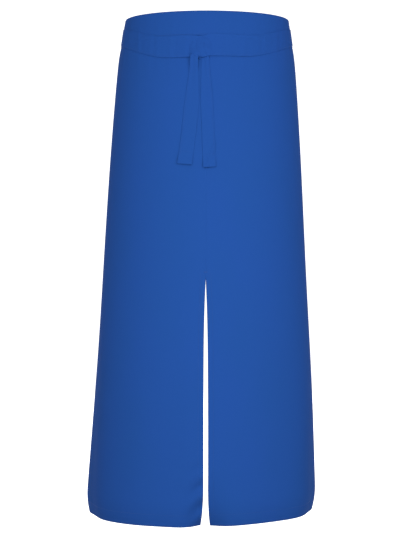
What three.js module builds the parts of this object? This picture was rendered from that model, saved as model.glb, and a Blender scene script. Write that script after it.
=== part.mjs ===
// Split-leg waist apron for welding and metal work, tied round the waist with a knot at centre front.
// Units are millimetres, +Z is up and the front of the apron faces -Y, so +X is the right-hand side
// of someone looking at the front. The origin is the middle of the waist opening, level with the top
// edge of the waistband. Every piece of cloth is laid out flat first, as a distance round the body
// from centre front and a height below the top edge, and is then hung on one body form.
import * as THREE from 'three';

// Overall sizes of the worn apron.
const APRON_LENGTH = 1000;
const WAIST_HALF_WIDTH = 164;
const WAIST_HALF_DEPTH = 113;
const HIP_EASE_WIDTH = 14;
const HIP_EASE_DEPTH = 16;
const HIP_EASE_HEIGHT = 120;
const FLARE_WIDTH = 0.051;
const FLARE_DEPTH = 0.062;

// Gap left open behind the wearer, measured round the body between the two back edges.
const BACK_GAP_WAIST = 65;
const BACK_GAP_HEM = 285;

// Waistband.
const BAND_HEIGHT = 50;
const PANEL_TUCK = 12;
const INTERLINING_MARGIN = 2;

// Slit that divides the skirt into two legs.
const SLIT_LENGTH = 485;
const SLIT_GAP_HEAD = 3;
const SLIT_GAP_HEM = 20;

// Hems and stitching.
const BOTTOM_HEM = 25;
const EDGE_HEM = 12;
const THREAD_WIDTH = 0.8;
const STITCH_INSET = 2;
const TACK_LENGTH = 8;
const TACK_WIDTH = 2.4;

// Ties, knot and tails.
const TIE_WIDTH = 38;
const TIE_BUNCHED = 20;
const TIE_DROP_FRONT = 66;
const TIE_DROP_SIDE = 31;
const TIE_DROP_ROOT = 13;
const TIE_DROP_PASSING = 45;
const TIE_ROOT_OVERLAP = 12;
const KNOT_OFFSET = -12;
const KNOT_DROP = 76;
const KNOT_CORE = { length: 36, height: 19, depth: 5.4 };
const KNOT_WRAP = { width: 15, height: 27, depth: 9.6, wall: 1.6 };
const TAIL_LENGTH = 220;
const TAIL_TOP_WIDTH = 18;
const TAIL_END_WIDTH = 30;
const TAIL_END_HEM = 24;
const LEFT_TAIL = { top: -22, end: -41 };
const RIGHT_TAIL = { top: -2.5, end: 5 };

// Layers, measured outward from the form.
const CLOTH = 1.0;
const LAYER_GAP = 0.7;
const PIECE_GAP = 0.6;
const THREAD = 0.4;
const INTERLINING = 0.6;
const INNER_LAYER = 0;
const PANEL_LAYER = INNER_LAYER + CLOTH + LAYER_GAP;
const BAND_LAYER = PANEL_LAYER + CLOTH + LAYER_GAP;
const PANEL_THREAD_LAYER = PANEL_LAYER + CLOTH + LAYER_GAP;
const BAND_THREAD_LAYER = BAND_LAYER + CLOTH + 0.3;
const TIE_ROOT_LAYER = BAND_LAYER + CLOTH + LAYER_GAP;
const TIE_LAYER = BAND_THREAD_LAYER + THREAD + LAYER_GAP;
const TIE_OVER_LIFT = CLOTH + LAYER_GAP;
const TAIL_LAYER = PANEL_THREAD_LAYER + THREAD + LAYER_GAP;

// Facets.
const ARC_STEPS = 40;
const FACET_ACROSS = 12;
const FACET_DOWN = 40;
const FACET_BAND = 17;
const FACET_LEG_ACROSS = 17;
const FACET_LEG_DOWN = 70;
const FACET_TIE = 11;
const KNOT_FACETS = 28;

const SLIT_HEAD = APRON_LENGTH - SLIT_LENGTH;
const LEG_TOP = SLIT_HEAD + PIECE_GAP;
const PANEL_TOP = BAND_HEIGHT - PANEL_TUCK;

const clothMaterial = () => new THREE.MeshStandardMaterial({ color: 0x2752a1, roughness: 0.9 });
const threadMaterial = () => new THREE.MeshStandardMaterial({ color: 0x234b95, roughness: 0.8 });
const liningMaterial = () => new THREE.MeshStandardMaterial({ color: 0xd9dade, roughness: 0.95 });

// ---- Body form -------------------------------------------------------------------------------

const mix = (from, to, share) => from + (to - from) * share;

function ease(share) {
  const s = Math.min(1, Math.max(0, share));
  return s * s * (3 - 2 * s);
}

const hipEase = (drop) => 1 - Math.exp(-drop / HIP_EASE_HEIGHT);
const halfWidth = (drop) => WAIST_HALF_WIDTH + HIP_EASE_WIDTH * hipEase(drop) + FLARE_WIDTH * drop;
const halfDepth = (drop) => WAIST_HALF_DEPTH + HIP_EASE_DEPTH * hipEase(drop) + FLARE_DEPTH * drop;

// Angle round the oval at a distance along its edge from centre front.
function angleAt(across, drop) {
  const a = halfWidth(drop);
  const b = halfDepth(drop);
  const speed = (angle) => Math.hypot(a * Math.cos(angle), b * Math.sin(angle));
  const step = across / ARC_STEPS;
  let angle = 0;
  for (let i = 0; i < ARC_STEPS; i += 1) {
    const middle = angle + (0.5 * step) / speed(angle);
    angle += step / speed(middle);
  }
  return angle;
}

// Distance along the oval's edge from centre front to an angle.
function acrossAt(angle, drop) {
  const a = halfWidth(drop);
  const b = halfDepth(drop);
  const step = angle / ARC_STEPS;
  let total = 0;
  for (let i = 0; i < ARC_STEPS; i += 1) {
    const middle = (i + 0.5) * step;
    total += step * Math.hypot(a * Math.cos(middle), b * Math.sin(middle));
  }
  return total;
}

// A point of flat cloth, with its height off the form, hung on the form.
function drape(across, drop, off) {
  const a = halfWidth(drop);
  const b = halfDepth(drop);
  const angle = angleAt(across, drop);
  const nx = b * Math.sin(angle);
  const ny = -a * Math.cos(angle);
  const n = Math.hypot(nx, ny);
  const x = a * Math.sin(angle) + (off * nx) / n;
  const y = -b * Math.cos(angle) + (off * ny) / n;
  return new THREE.Vector3(x, y, -drop);
}

// Half the flat width of the skirt at the waist and at the hem: 410 and 520 mm.
const HALF_CUT_WAIST = acrossAt(Math.PI, 0) - BACK_GAP_WAIST / 2;
const HALF_CUT_HEM = acrossAt(Math.PI, APRON_LENGTH) - BACK_GAP_HEM / 2;

// Half the flat width of the skirt at a height, and half the slit's opening there.
const backEdge = (drop) => mix(HALF_CUT_WAIST, HALF_CUT_HEM, drop / APRON_LENGTH);
const slitEdge = (drop) => mix(SLIT_GAP_HEAD, SLIT_GAP_HEM, (drop - SLIT_HEAD) / SLIT_LENGTH) / 2;

// ---- Cloth blocks ----------------------------------------------------------------------------

// A closed slab of cloth. place(p, q, r) gives its flat across, drop and height off the form for
// shares p from left to right, q from top to bottom and r from inside to outside.
function clothBlock(acrossSteps, downSteps, place) {
  const geometry = new THREE.BoxGeometry(1, 1, 1, acrossSteps, downSteps, 1);
  const points = geometry.attributes.position;
  for (let i = 0; i < points.count; i += 1) {
    const p = points.getX(i) + 0.5;
    const q = 0.5 - points.getY(i);
    const r = points.getZ(i) + 0.5;
    const at = drape(...place(p, q, r));
    points.setXYZ(i, at.x, at.y, at.z);
  }
  geometry.computeVertexNormals();
  return geometry;
}

const stepsFor = (length, facet) => Math.max(1, Math.round(Math.abs(length) / facet));

// A slab between two edges that may slant, from one height to another.
function slab({ left, right, top, bottom, layer, thickness, facets = [FACET_ACROSS, FACET_DOWN] }) {
  const [facetAcross, facetDown] = facets;
  const width = Math.max(right(top) - left(top), right(bottom) - left(bottom));
  const place = (p, q, r) => {
    const drop = mix(top, bottom, q);
    return [mix(left(drop), right(drop), p), drop, layer + thickness * r];
  };
  const across = stepsFor(width, facetAcross);
  return clothBlock(across, stepsFor(bottom - top, facetDown), place);
}

function named(name, geometry, material) {
  const mesh = new THREE.Mesh(geometry, material);
  mesh.name = name;
  return mesh;
}

// Edges for one side of the body: side is -1 for the left and +1 for the right.
function between(side, near, far) {
  if (side < 0) return { left: (drop) => -far(drop), right: (drop) => -near(drop) };
  return { left: near, right: far };
}

const inset = (edge, amount) => (drop) => edge(drop) - amount;
const outset = (edge, amount) => (drop) => edge(drop) + amount;

// ---- Waistband -------------------------------------------------------------------------------

function bandStrip(top, bottom, layer, thickness, endInset = 0) {
  const edge = inset(backEdge, endInset);
  const edges = { left: (drop) => -edge(drop), right: edge };
  return slab({ ...edges, top, bottom, layer, thickness, facets: [FACET_ACROSS, FACET_BAND] });
}

function waistband() {
  const topRow = STITCH_INSET;
  const lowRow = BAND_HEIGHT - STITCH_INSET - THREAD_WIDTH;
  const lining = bandStrip(
    INTERLINING_MARGIN,
    PANEL_TOP - INTERLINING_MARGIN,
    PANEL_LAYER,
    INTERLINING,
    INTERLINING_MARGIN,
  );
  const row = (top) => bandStrip(top, top + THREAD_WIDTH, BAND_THREAD_LAYER, THREAD, STITCH_INSET);
  return [
    named('waistband_outer', bandStrip(0, BAND_HEIGHT, BAND_LAYER, CLOTH), clothMaterial()),
    named('waistband_interlining', lining, liningMaterial()),
    named('waistband_inner', bandStrip(0, BAND_HEIGHT, INNER_LAYER, CLOTH), clothMaterial()),
    named('waistband_top_stitch', row(topRow), threadMaterial()),
    named('waistband_bottom_stitch', row(lowRow), threadMaterial()),
  ];
}

// ---- Skirt above the slit --------------------------------------------------------------------

const seamEdge = () => PIECE_GAP;

function hipPanel(side) {
  const edges = between(side, seamEdge, backEdge);
  const size = { top: PANEL_TOP, bottom: SLIT_HEAD, layer: PANEL_LAYER, thickness: CLOTH };
  return slab({ ...edges, ...size });
}

// The turned-in seam allowance beside the centre seam.
function seamAllowance(side) {
  const edges = between(side, seamEdge, () => EDGE_HEM);
  const top = BAND_HEIGHT + PIECE_GAP;
  return slab({ ...edges, top, bottom: SLIT_HEAD, layer: INNER_LAYER, thickness: CLOTH });
}

function centreSeamThread() {
  const half = PIECE_GAP - 0.3;
  const edges = { left: () => -half, right: () => half };
  const layer = PANEL_LAYER + 0.2;
  const top = PANEL_TOP;
  return slab({ ...edges, top, bottom: SLIT_HEAD, layer, thickness: CLOTH - 0.4 });
}

function sideHem(side, top, bottom, facets) {
  const edges = between(side, inset(backEdge, EDGE_HEM), backEdge);
  return slab({ ...edges, top, bottom, layer: INNER_LAYER, thickness: CLOTH, facets });
}

function sideStitch(side, top, bottom, facets) {
  const line = inset(backEdge, EDGE_HEM - STITCH_INSET);
  const edges = between(side, inset(line, THREAD_WIDTH), line);
  return slab({ ...edges, top, bottom, layer: PANEL_THREAD_LAYER, thickness: THREAD, facets });
}

// Dense short stitches across the seam just above the slit.
function slitBarTack() {
  const half = TACK_LENGTH / 2;
  const bottom = SLIT_HEAD - PIECE_GAP;
  return slab({
    left: () => -half,
    right: () => half,
    top: bottom - TACK_WIDTH,
    bottom,
    layer: PANEL_THREAD_LAYER,
    thickness: THREAD,
  });
}

function skirt() {
  const hemTop = BAND_HEIGHT + PIECE_GAP;
  return [
    named('left_hip_panel', hipPanel(-1), clothMaterial()),
    named('right_hip_panel', hipPanel(1), clothMaterial()),
    named('left_seam_allowance', seamAllowance(-1), clothMaterial()),
    named('right_seam_allowance', seamAllowance(1), clothMaterial()),
    named('centre_seam_thread', centreSeamThread(), threadMaterial()),
    named('slit_bar_tack', slitBarTack(), threadMaterial()),
    named('left_side_hem_upper', sideHem(-1, hemTop, SLIT_HEAD), clothMaterial()),
    named('right_side_hem_upper', sideHem(1, hemTop, SLIT_HEAD), clothMaterial()),
    named('left_side_stitch_upper', sideStitch(-1, hemTop, SLIT_HEAD), threadMaterial()),
    named('right_side_stitch_upper', sideStitch(1, hemTop, SLIT_HEAD), threadMaterial()),
  ];
}

// ---- Legs ------------------------------------------------------------------------------------

// One leg from the slit head down: its panel, the hems turned inside it and their stitching.
function leg(side, word) {
  const facets = [FACET_LEG_ACROSS, FACET_LEG_DOWN];
  const inside = { layer: INNER_LAYER, thickness: CLOTH, facets };
  const thread = { layer: PANEL_THREAD_LAYER, thickness: THREAD, facets };
  const hemTop = APRON_LENGTH - BOTTOM_HEM;
  const stripEnd = hemTop - PIECE_GAP;
  const rowTop = hemTop + STITCH_INSET;
  const line = outset(slitEdge, EDGE_HEM - STITCH_INSET);

  const whole = between(side, slitEdge, backEdge);
  const slitFold = between(side, slitEdge, outset(slitEdge, EDGE_HEM));
  const slitRow = between(side, line, outset(line, THREAD_WIDTH));
  const full = { top: LEG_TOP, bottom: APRON_LENGTH };
  const strip = { top: LEG_TOP, bottom: stripEnd };
  const fold = { top: hemTop, bottom: APRON_LENGTH };
  const row = { top: rowTop, bottom: rowTop + THREAD_WIDTH };

  const panel = slab({ ...whole, ...full, ...inside, layer: PANEL_LAYER });
  const sideFold = sideHem(side, LEG_TOP, stripEnd, facets);
  const sideRow = sideStitch(side, LEG_TOP, stripEnd, facets);
  return [
    named(`${word}_leg_panel`, panel, clothMaterial()),
    named(`${word}_slit_hem`, slab({ ...slitFold, ...strip, ...inside }), clothMaterial()),
    named(`${word}_side_hem_lower`, sideFold, clothMaterial()),
    named(`${word}_bottom_hem`, slab({ ...whole, ...fold, ...inside }), clothMaterial()),
    named(`${word}_slit_stitch`, slab({ ...slitRow, ...strip, ...thread }), threadMaterial()),
    named(`${word}_side_stitch_lower`, sideRow, threadMaterial()),
    named(`${word}_bottom_stitch`, slab({ ...whole, ...row, ...thread }), threadMaterial()),
  ];
}

// ---- Ties ------------------------------------------------------------------------------------

// Distances round the waist, from centre front, of the places a tie passes.
const backCentre = () => acrossAt(Math.PI, TIE_DROP_SIDE);
const bandEnd = () => backEdge(TIE_DROP_SIDE);
const rootEnd = () => 2 * backCentre() - bandEnd() + TIE_ROOT_OVERLAP;

// Height below the top edge of a tie's middle line.
function tieDrop(round) {
  const side = acrossAt(Math.PI / 2, TIE_DROP_SIDE);
  const end = bandEnd();
  const root = 2 * backCentre() - end;
  if (round < side) return mix(TIE_DROP_FRONT, TIE_DROP_SIDE, ease((round - 70) / (side - 70)));
  if (round < end) {
    const start = end - 2 * TIE_WIDTH;
    return mix(TIE_DROP_SIDE, TIE_DROP_PASSING, ease((round - start) / (end - start)));
  }
  return mix(TIE_DROP_PASSING, TIE_DROP_ROOT, Math.min(1, (round - end) / (root - end)));
}

// Width of a tie, bunched beside the knot and where the two ties cross behind the waist.
function tieWidth(round, knotEnd) {
  const end = bandEnd();
  const front = ease((round - knotEnd) / TIE_WIDTH);
  const back = ease((round - (end - 2 * TIE_WIDTH)) / (1.6 * TIE_WIDTH));
  return Math.min(mix(TIE_BUNCHED, TIE_WIDTH, front), mix(TIE_WIDTH, TIE_BUNCHED, back));
}

// Height of a tie off the form; the upper tie rises over the other where they cross.
function tieLayer(round, isUpper) {
  const middle = backCentre();
  const reach = middle - bandEnd();
  const away = Math.abs(round - middle) / reach;
  const lift = isUpper ? TIE_OVER_LIFT * (1 - ease((away - 0.66) / 0.3)) : 0;
  const sink = ease((round - middle - 0.75 * reach) / (0.25 * reach));
  return mix(TIE_LAYER, TIE_ROOT_LAYER, sink) + lift;
}

function tieBand(side, isUpper) {
  const knotEnd = side * KNOT_OFFSET + KNOT_CORE.length / 2 + PIECE_GAP;
  const far = rootEnd();
  const place = (p, q, r) => {
    const share = side < 0 ? 1 - p : p;
    const round = mix(knotEnd, far, share);
    const drop = tieDrop(round) + tieWidth(round, knotEnd) * (q - 0.5);
    return [side * round, drop, tieLayer(round, isUpper) + CLOTH * r];
  };
  return clothBlock(stepsFor(far - knotEnd, FACET_TIE), 2, place);
}

function tieTack(side) {
  const middle = rootEnd() - TIE_ROOT_OVERLAP / 2;
  const half = TACK_WIDTH / 2;
  return slab({
    ...between(side, () => middle - half, () => middle + half),
    top: TIE_DROP_ROOT - TACK_LENGTH,
    bottom: TIE_DROP_ROOT + TACK_LENGTH,
    layer: TIE_ROOT_LAYER + CLOTH + LAYER_GAP,
    thickness: THREAD,
  });
}

// ---- Knot ------------------------------------------------------------------------------------

const knotMiddleLayer = () => TAIL_LAYER + KNOT_WRAP.depth / 2;

// The bundled cloth that runs through the knot from one tie to the other.
function knotCore() {
  const geometry = new THREE.SphereGeometry(0.5, KNOT_FACETS, KNOT_FACETS / 2);
  geometry.rotateZ(Math.PI / 2);
  const points = geometry.attributes.position;
  const middle = knotMiddleLayer();
  for (let i = 0; i < points.count; i += 1) {
    const along = points.getX(i) * 2;
    const full = Math.pow(Math.max(0, 1 - along * along), 0.5);
    const swell = full > 0 ? Math.pow(full, -0.45) : 1;
    const across = KNOT_OFFSET + 0.5 * KNOT_CORE.length * along;
    const drop = KNOT_DROP - points.getY(i) * swell * KNOT_CORE.height;
    const off = middle + points.getZ(i) * swell * KNOT_CORE.depth;
    const at = drape(across, drop, off);
    points.setXYZ(i, at.x, at.y, at.z);
  }
  geometry.computeVertexNormals();
  return geometry;
}

// The turn of cloth that wraps round the core: a flattened ring with its hole along the waist.
function knotWrap() {
  const { width, height, depth, wall } = KNOT_WRAP;
  const profile = [
    new THREE.Vector2(1, -0.5),
    new THREE.Vector2(1, 0.5),
    new THREE.Vector2(0, 0.5),
    new THREE.Vector2(0, -0.5),
    new THREE.Vector2(1, -0.5),
  ];
  const geometry = new THREE.LatheGeometry(profile, KNOT_FACETS);
  const points = geometry.attributes.position;
  const middle = knotMiddleLayer();
  let index = 0;
  for (let i = 0; i <= KNOT_FACETS; i += 1) {
    const turn = (i / KNOT_FACETS) * Math.PI * 2;
    for (const corner of profile) {
      const shrink = (1 - corner.x) * 2 * wall;
      const drop = KNOT_DROP - 0.5 * (height - shrink) * Math.cos(turn);
      const off = middle + 0.5 * (depth - shrink) * Math.sin(turn);
      const at = drape(KNOT_OFFSET + corner.y * width, drop, off);
      points.setXYZ(index, at.x, at.y, at.z);
      index += 1;
    }
  }
  geometry.computeVertexNormals();
  return geometry;
}

// ---- Tails -----------------------------------------------------------------------------------

const tailTop = () => KNOT_DROP + KNOT_WRAP.height / 2 + PIECE_GAP;

function tailBlock(line, from, to, layer, thickness) {
  const length = TAIL_LENGTH;
  const place = (p, q, r) => {
    const share = mix(from, to, q) / length;
    const width = mix(TAIL_TOP_WIDTH, TAIL_END_WIDTH, ease(share * 2));
    const across = mix(line.top, line.end, share) + width * (p - 0.5);
    return [across, tailTop() + share * length, layer + thickness * r];
  };
  return clothBlock(3, stepsFor(to - from, 22), place);
}

function tail(line, word) {
  const stitch = TAIL_LENGTH - TAIL_END_HEM;
  const threadLayer = TAIL_LAYER + CLOTH + 0.3;
  const row = tailBlock(line, stitch - THREAD_WIDTH, stitch, threadLayer, THREAD);
  return [
    named(`${word}_tie_tail`, tailBlock(line, 0, TAIL_LENGTH, TAIL_LAYER, CLOTH), clothMaterial()),
    named(`${word}_tail_stitch`, row, threadMaterial()),
  ];
}

// ---- Assembly --------------------------------------------------------------------------------

function apron() {
  const group = new THREE.Group();
  group.name = 'welding_waist_apron';
  const pieces = [
    ...waistband(),
    ...skirt(),
    ...leg(-1, 'left'),
    ...leg(1, 'right'),
    named('left_tie_band', tieBand(-1, true), clothMaterial()),
    named('right_tie_band', tieBand(1, false), clothMaterial()),
    named('left_tie_bar_tack', tieTack(-1), threadMaterial()),
    named('right_tie_bar_tack', tieTack(1), threadMaterial()),
    named('knot_core', knotCore(), clothMaterial()),
    named('knot_wrap', knotWrap(), clothMaterial()),
    ...tail(LEFT_TAIL, 'left'),
    ...tail(RIGHT_TAIL, 'right'),
  ];
  group.add(...pieces);
  return group;
}

export default apron();
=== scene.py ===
"""Split-leg waist apron for welding and metal work, worn round an unseen body and tied in front.

Every piece of cloth is laid out flat as a distance across from centre front and a drop below the
top edge. It is then hung on one body form, with the creases that the cloth takes up there.
"""

import logging
import math
from collections.abc import Callable
from dataclasses import dataclass, field
from enum import Enum
from functools import cached_property

import bmesh
import bpy
import numpy as np
from mathutils import Matrix, Vector


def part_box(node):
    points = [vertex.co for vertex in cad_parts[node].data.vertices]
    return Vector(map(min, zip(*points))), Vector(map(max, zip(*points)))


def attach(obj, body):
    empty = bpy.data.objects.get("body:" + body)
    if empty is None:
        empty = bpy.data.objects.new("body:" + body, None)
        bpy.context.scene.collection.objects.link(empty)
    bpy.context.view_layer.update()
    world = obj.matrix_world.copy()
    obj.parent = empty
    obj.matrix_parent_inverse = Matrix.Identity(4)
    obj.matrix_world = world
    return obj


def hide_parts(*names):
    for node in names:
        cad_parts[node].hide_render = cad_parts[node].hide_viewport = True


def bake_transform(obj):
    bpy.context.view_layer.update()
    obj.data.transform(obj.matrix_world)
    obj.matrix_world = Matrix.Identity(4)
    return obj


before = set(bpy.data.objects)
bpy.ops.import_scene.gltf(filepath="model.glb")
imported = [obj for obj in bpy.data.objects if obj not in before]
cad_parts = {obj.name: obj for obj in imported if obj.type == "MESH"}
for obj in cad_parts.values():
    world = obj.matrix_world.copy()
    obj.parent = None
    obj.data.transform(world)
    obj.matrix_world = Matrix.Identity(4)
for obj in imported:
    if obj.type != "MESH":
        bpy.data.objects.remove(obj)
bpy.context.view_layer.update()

log = logging.getLogger("apron")

MM = 0.001

# Layers of cloth and thread, measured outward from the body form to the middle of each layer.
CLOTH = 1.0 * MM
INNER_LAYER = 0.5 * MM
PANEL_LAYER = 1.8 * MM
BAND_LAYER = 3.0 * MM

# Height of a thread's middle above the middle of the cloth it lies on, as a share of the cloth.
THREAD_SEAT = 0.55


class Side(Enum):
    """A side of the apron, as seen by someone looking at its front."""

    LEFT = -1
    RIGHT = 1

    @property
    def word(self) -> str:
        """The side's name as the pieces use it."""
        return self.name.lower()


def mix(start: float, end: float, share: float) -> float:
    """The value a share of the way from start to end."""
    return start + (end - start) * share


def ease(share: float) -> float:
    """A share from 0 to 1 that starts and stops gently."""
    s = min(1.0, max(0.0, share))
    return s * s * (3 - 2 * s)


# ---- Body form and creases -------------------------------------------------------------------


@dataclass(frozen=True)
class BodyForm:
    """The oval cone of waist, hips and skirt that all the cloth hangs on."""

    half_width: float
    half_depth: float
    length: float
    slit_head: float
    band_height: float
    ease_width: float = 14 * MM
    ease_depth: float = 16 * MM
    ease_height: float = 120 * MM
    flare_width: float = 0.051
    flare_depth: float = 0.062
    back_gap_waist: float = 65 * MM
    back_gap_hem: float = 285 * MM
    lean: float = -11 * MM
    seam_shift: float = -2.3 * MM
    hem_slope: float = 0.019
    slope_reach: float = 220 * MM
    hem_sag: float = 3.9 * MM
    corner_sag: float = 0.7
    corner_reach: float = 60 * MM
    tie_left: float = 93.5 * MM
    tie_right: float = 91.0 * MM
    tie_side: float = 56.0 * MM

    @classmethod
    def from_frame(cls) -> "BodyForm":
        """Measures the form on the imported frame.

        Returns:
            The form whose waist, length, slit and band are those of the frame's nodes.
        """
        band_low, band_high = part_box("waistband_inner")
        leg_low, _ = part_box("left_leg_panel")
        hip_low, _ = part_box("left_hip_panel")
        height = -band_low.z
        hip = 1 - math.exp(-height / cls.ease_height)
        return cls(
            half_width=band_high.x - CLOTH - cls.ease_width * hip - cls.flare_width * height,
            half_depth=-band_low.y - CLOTH - cls.ease_depth * hip - cls.flare_depth * height,
            length=-leg_low.z,
            slit_head=-hip_low.z,
            band_height=height,
        )

    def semi_axes(self, drop: float) -> tuple[float, float]:
        """Half the oval's width and half its depth at a drop below the top edge."""
        hip = 1 - math.exp(-max(drop, 0.0) / self.ease_height)
        a = self.half_width + self.ease_width * hip + self.flare_width * drop
        b = self.half_depth + self.ease_depth * hip + self.flare_depth * drop
        return a, b

    def arcs(self, drop: float) -> tuple[np.ndarray, np.ndarray]:
        """Angles round the oval and the distance along its edge to each, from centre front."""
        a, b = self.semi_axes(drop)
        angles = np.linspace(0.0, 1.5 * math.pi, 271)
        middle = (angles[1:] + angles[:-1]) / 2
        lengths = np.hypot(a * np.cos(middle), b * np.sin(middle)) * (angles[1] - angles[0])
        return angles, np.concatenate([[0.0], np.cumsum(lengths)])

    def angle_at(self, across: float, drop: float) -> float:
        """The angle round the oval at a distance across from centre front."""
        angles, lengths = self.arcs(drop)
        return math.copysign(float(np.interp(abs(across), lengths, angles)), across)

    def across_at(self, angle: float, drop: float) -> float:
        """The distance across from centre front to an angle round the oval."""
        angles, lengths = self.arcs(drop)
        return float(np.interp(angle, angles, lengths))

    def sway(self, drop: float) -> float:
        """How far the form leans to one side at a drop below the top edge."""
        return self.lean * drop / self.length

    def droop(self, across: float, drop: float) -> float:
        """How much lower the cloth hangs than it was cut, most at the hem, the slit and the left."""
        slope = self.hem_slope * self.slope_reach * math.tanh(across / self.slope_reach)
        corner = self.corner_sag * math.exp(-((across / self.corner_reach) ** 2))
        return (self.hem_sag * (1 + corner) - slope) * (max(drop, 0.0) / self.length) ** 2

    def place(self, across: float, drop: float, off: float) -> Vector:
        """A point of flat cloth, hung on the form.

        Args:
            across: Distance from centre front, negative to the left.
            drop: Height below the top edge.
            off: Distance outward from the form.

        Returns:
            The point in the frame, in metres.
        """
        a, b = self.semi_axes(drop)
        angle = self.angle_at(across, drop)
        height = -drop - self.droop(across, drop)
        middle = Vector((a * math.sin(angle) + self.sway(drop), -b * math.cos(angle), height))
        return middle + off * self.outward(angle, a, b)

    def outward(self, angle: float, a: float, b: float) -> Vector:
        """The outward direction of an oval at an angle."""
        return Vector((b * math.sin(angle), -a * math.cos(angle), 0.0)).normalized()

    @cached_property
    def quarter(self) -> float:
        """Distance across from centre front to the wearer's side, at the ties."""
        return self.across_at(math.pi / 2, self.tie_side)

    def tie_edge(self, across: float) -> float:
        """Drop of the ties' lower edge, level beside the knot and higher at the wearer's sides."""
        middle = self.tie_left if across < 0 else self.tie_right
        start = 70 * MM
        return mix(middle, self.tie_side, ease((abs(across) - start) / (self.quarter - start)))

    @cached_property
    def waist_edge(self) -> float:
        """Half the cloth's flat width at the waist."""
        return self.across_at(math.pi, 0.0) - self.back_gap_waist / 2

    @cached_property
    def hem_edge(self) -> float:
        """Half the cloth's flat width at the hem."""
        return self.across_at(math.pi, self.length) - self.back_gap_hem / 2

    def back_edge(self, drop: float) -> float:
        """Distance across from centre front to the skirt's back edge at a drop."""
        return mix(self.waist_edge, self.hem_edge, drop / self.length)

    def centre_line(self, drop: float) -> float:
        """Distance across of the seam and slit, which hang plumb from the waist's middle."""
        return self.seam_shift * ease(drop / 0.1) - self.sway(drop)


@dataclass(frozen=True)
class Creases:
    """How far the hung cloth stands off its form: gathers, soft flutes and small folds."""

    form: BodyForm
    gather: float = 0.2 * MM
    flute: float = 4.5 * MM
    front_flute: float = 0.9 * MM
    crumple: float = 3.2 * MM
    curl_left: float = 36.0 * MM
    curl_right: float = 30.0 * MM
    hem_turn: float = 8.0 * MM
    puff: float = 1.1 * MM
    hip_fullness: float = 2.0 * MM
    leg_fullness: float = 5.0 * MM
    lopsided: float = 2.0 * MM

    def lift(self, across: float, drop: float) -> float:
        """The extra distance off the form at a place on the flat cloth."""
        folds = self.flutes(across, drop) + self.corner_fold(across, drop)
        tucked_in = self.hem_turn * max(0.0, (drop - 0.95) / 0.05) ** 2
        full = self.fullness(across, drop) + self.below_ties(across, drop)
        return self.gathers(across, drop) + folds + full - tucked_in

    def below_ties(self, across: float, drop: float) -> float:
        """How the skirt fills out below the ties that hold it in, except beside the knot."""
        below = drop - self.form.tie_edge(across)
        beside = ease((abs(across) - 0.06) / 0.08)
        behind = ease((abs(across) - self.form.quarter - 0.03) / 0.08)
        fill = ease((below + 1 * MM) / (4 * MM)) * math.exp(-((max(below, 0.0) / 0.09) ** 2))
        return self.puff * fill * beside * (1 - behind)

    def fullness(self, across: float, drop: float) -> float:
        """How the cloth swells at the wearer's sides, over the hips and beside the legs."""
        a, b = self.form.semi_axes(drop)
        side = math.exp(-(((abs(across) - 0.76 * (a + b) + 0.02) / 0.13) ** 2))
        hips = ease((drop - 0.04) / 0.045)
        legs = math.exp(-(((drop - 0.75) / 0.2) ** 2))
        beside = self.leg_fullness + math.copysign(self.lopsided, across)
        return side * hips * mix(self.hip_fullness, beside, legs)

    def gathers(self, across: float, drop: float) -> float:
        """Fine upright puckers that fade out below the ties."""
        start = mix(0.088, 0.050, ease(abs(across) / 0.2))
        fade = math.exp(-((max(drop, 0.0) - start) / 0.05) ** 2)
        wave = math.sin(across * 260 + 1.3) + 0.7 * math.sin(across * 431 + 0.4)
        return self.gather * fade * wave

    def flutes(self, across: float, drop: float) -> float:
        """Broad soft folds that grow towards the hem, slight in front and fuller behind."""
        grow = ease((drop - 0.25) / (self.form.length - 0.2)) ** 1.3
        behind = ease((abs(across) - 0.16) / 0.2)
        depth = mix(self.front_flute, self.flute, behind)
        sway = 0.35 * math.sin(2.1 * drop + 0.8)
        wave = math.sin(across * 34 + sway + 0.9) + 0.5 * math.sin(across * 57 - 2 * sway + 2.2)
        return depth * grow * wave

    def corner_fold(self, across: float, drop: float) -> float:
        """How the legs' lower corners beside the slit curl back, the left one slightly crumpled."""
        beside = abs(across - self.form.centre_line(drop))
        curl = max(0.0, (drop - 0.88) / 0.12) ** 2 * math.exp(-((beside / 0.034) ** 2))
        if across > self.form.centre_line(drop):
            return -self.curl_right * curl
        slant = math.sin(120 * across + 160 * (drop - 0.85))
        crumpled = self.crumple * math.exp(-(((beside - 0.012) / 0.016) ** 2)) * slant
        return crumpled * ease((drop - 0.84) / 0.08) - self.curl_left * curl


# ---- Finishes --------------------------------------------------------------------------------


def new_material(name: str) -> tuple[bpy.types.Material, bpy.types.NodeTree, bpy.types.Node]:
    """An empty node material with a Principled shader joined to its output.

    Args:
        name: The material's name.

    Returns:
        The material, its node tree and its Principled node.
    """
    material = bpy.data.materials.new(name)
    material.use_nodes = True
    tree = material.node_tree
    tree.nodes.clear()
    output = tree.nodes.new("ShaderNodeOutputMaterial")
    shader = tree.nodes.new("ShaderNodeBsdfPrincipled")
    tree.links.new(shader.outputs["BSDF"], output.inputs["Surface"])
    return material, tree, shader


def math_node(tree: bpy.types.NodeTree, operation: str, *values: object) -> bpy.types.NodeSocket:
    """A Math node on sockets or numbers.

    Args:
        tree: The node tree to add it to.
        operation: The node's operation.
        values: Its inputs, each a socket to link or a number to set.

    Returns:
        The node's output socket.
    """
    node = tree.nodes.new("ShaderNodeMath")
    node.operation = operation
    for socket, value in zip(node.inputs, values):
        if isinstance(value, bpy.types.NodeSocket):
            tree.links.new(value, socket)
        else:
            socket.default_value = value
    return node.outputs[0]


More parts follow.
